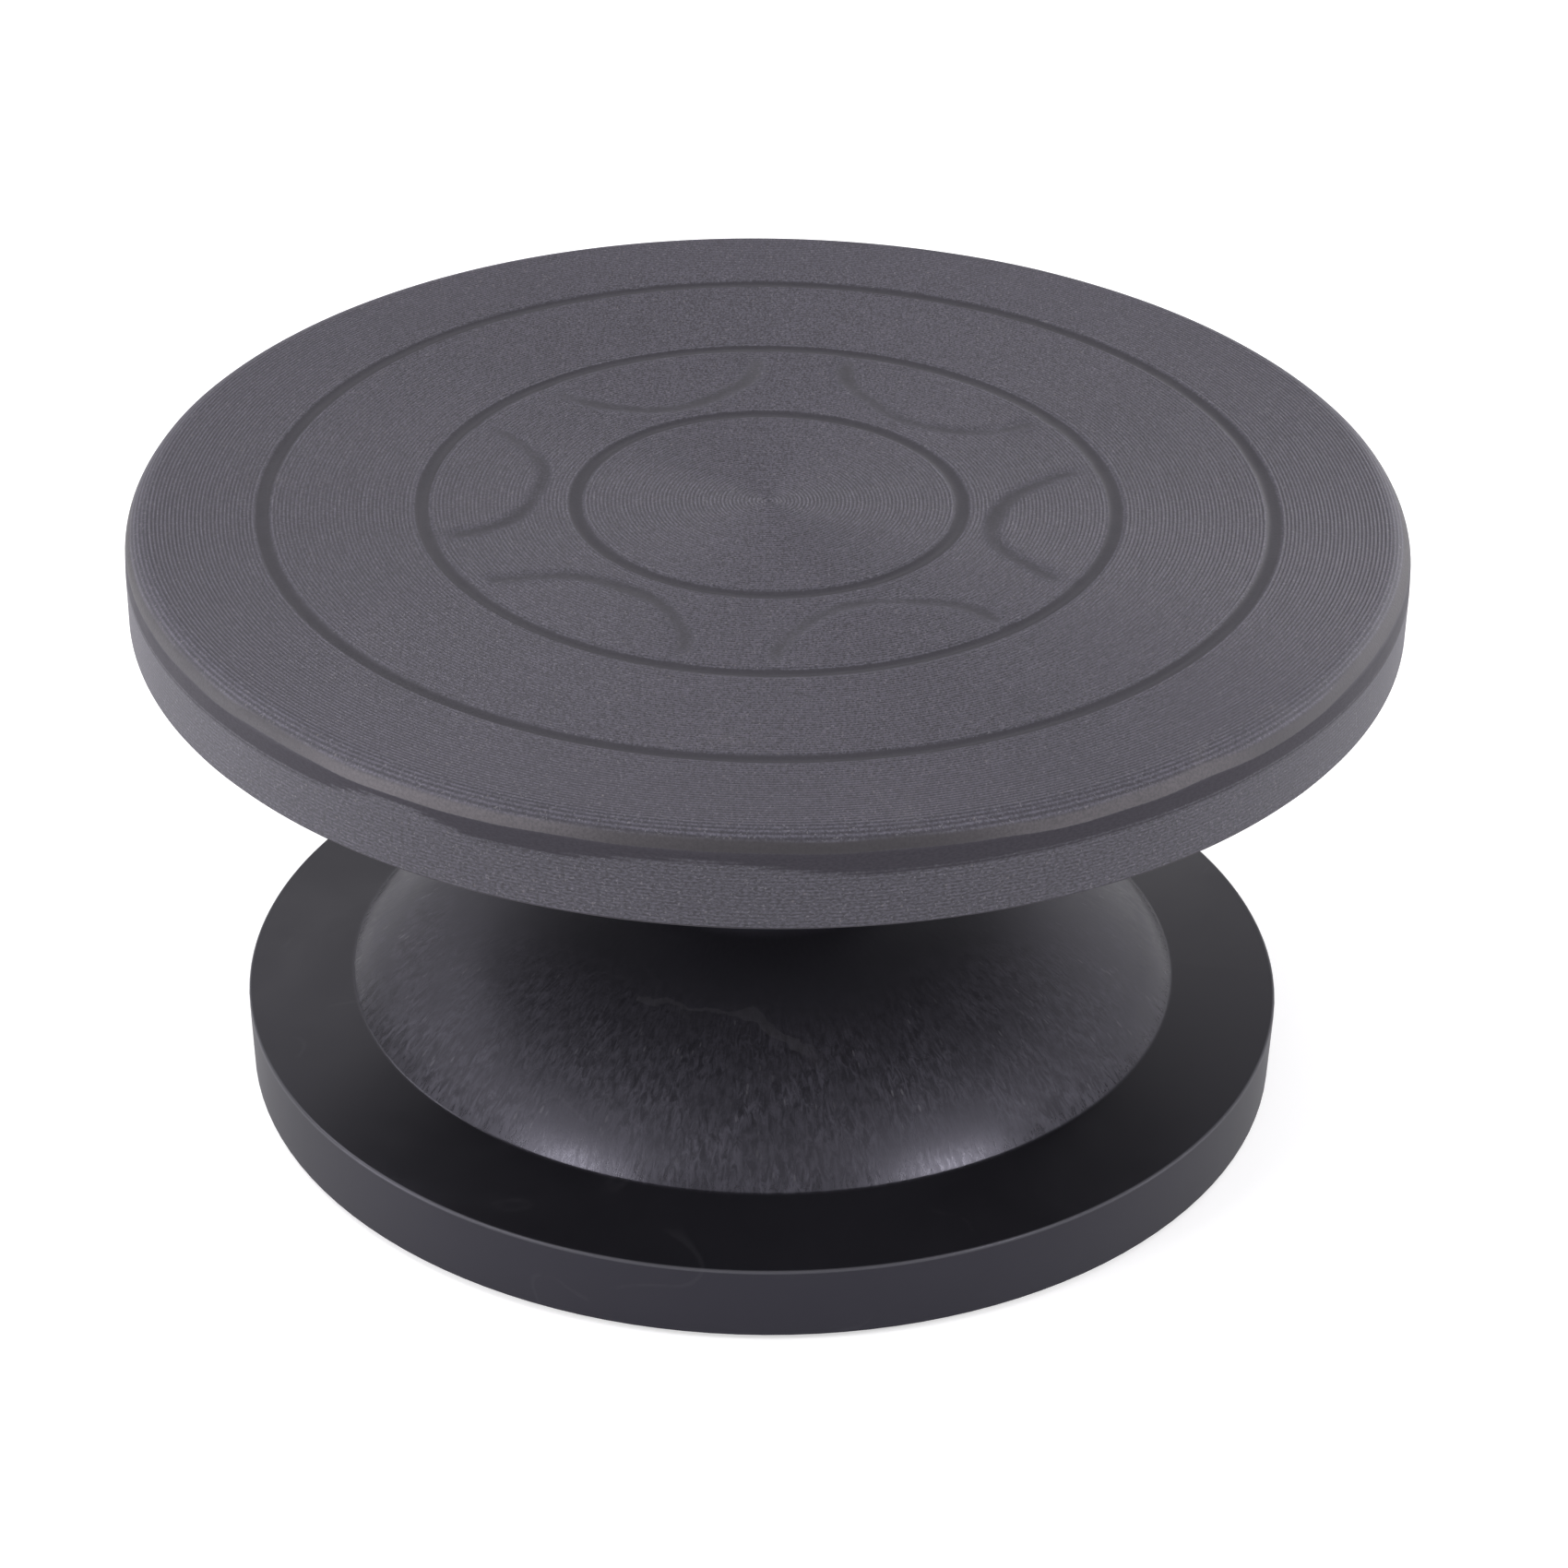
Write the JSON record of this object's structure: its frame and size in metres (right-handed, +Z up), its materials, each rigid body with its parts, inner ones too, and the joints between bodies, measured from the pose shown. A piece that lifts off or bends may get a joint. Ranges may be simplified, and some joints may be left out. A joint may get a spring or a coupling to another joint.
{
  "type": "sculpting turntable",
  "caption": "Round sculpting turntable: a thick grooved plate that spins on ball bearings over a domed round base with a central neck.",
  "frame": {"origin": "on the spin axis, at the level of the rubber feet that the turntable stands on", "axes": "+Z up along the spin axis; +X and +Y across the plate, towards the right and the back as seen from the front"},
  "size_m": [0.252, 0.252, 0.126],
  "materials": {
    "plate_plastic": "turned matt moulded plastic",
    "base_plastic": "satin moulded plastic",
    "cap_plastic": "satin moulded plastic",
    "foot_rubber": "matt",
    "seal_rubber": "matt",
    "turned_steel": "turned",
    "ground_steel": "ground",
    "zinc_steel": "zinc plated",
    "spring_steel": "phosphated",
    "bearing_steel": "polished",
    "ball_steel": "mirror polished",
    "cage_brass": "satin"
  },
  "bodies": {
    "base": {"base_shell": "base_plastic", "hub_cap": "cap_plastic", "rubber_feet": "foot_rubber", "upper_outer_ring": "bearing_steel", "upper_seals": "seal_rubber", "lower_outer_ring": "bearing_steel", "lower_seals": "seal_rubber"},
    "plate": {"turntable_plate": "plate_plastic", "spindle_flange": "turned_steel", "spindle_shaft": "ground_steel", "flange_screws": "zinc_steel", "flange_lock_washers": "spring_steel", "bearing_spacer": "turned_steel", "shim_washer": "zinc_steel", "circlip": "spring_steel", "upper_inner_ring": "bearing_steel", "lower_inner_ring": "bearing_steel"},
    "upper_ball_set": {"upper_balls": "ball_steel", "upper_cage": "cage_brass"},
    "lower_ball_set": {"lower_balls": "ball_steel", "lower_cage": "cage_brass"}
  },
  "joints": [
    {"name": "plate_spin", "type": "hinge", "parent": "base", "child": "plate", "pos_m": [0, 0, 0.091], "axis": [0, 0, 1], "continuous": true},
    {"name": "upper_ball_orbit", "type": "hinge", "parent": "base", "child": "upper_ball_set", "pos_m": [0, 0, 0.091], "axis": [0, 0, 1], "continuous": true},
    {"name": "lower_ball_orbit", "type": "hinge", "parent": "base", "child": "lower_ball_set", "pos_m": [0, 0, 0.045], "axis": [0, 0, 1], "continuous": true}
  ],
  "couplings": [
    {"joint": "upper_ball_orbit", "follows": "plate_spin", "ratio": 0.4084},
    {"joint": "lower_ball_orbit", "follows": "plate_spin", "ratio": 0.4084}
  ]
}
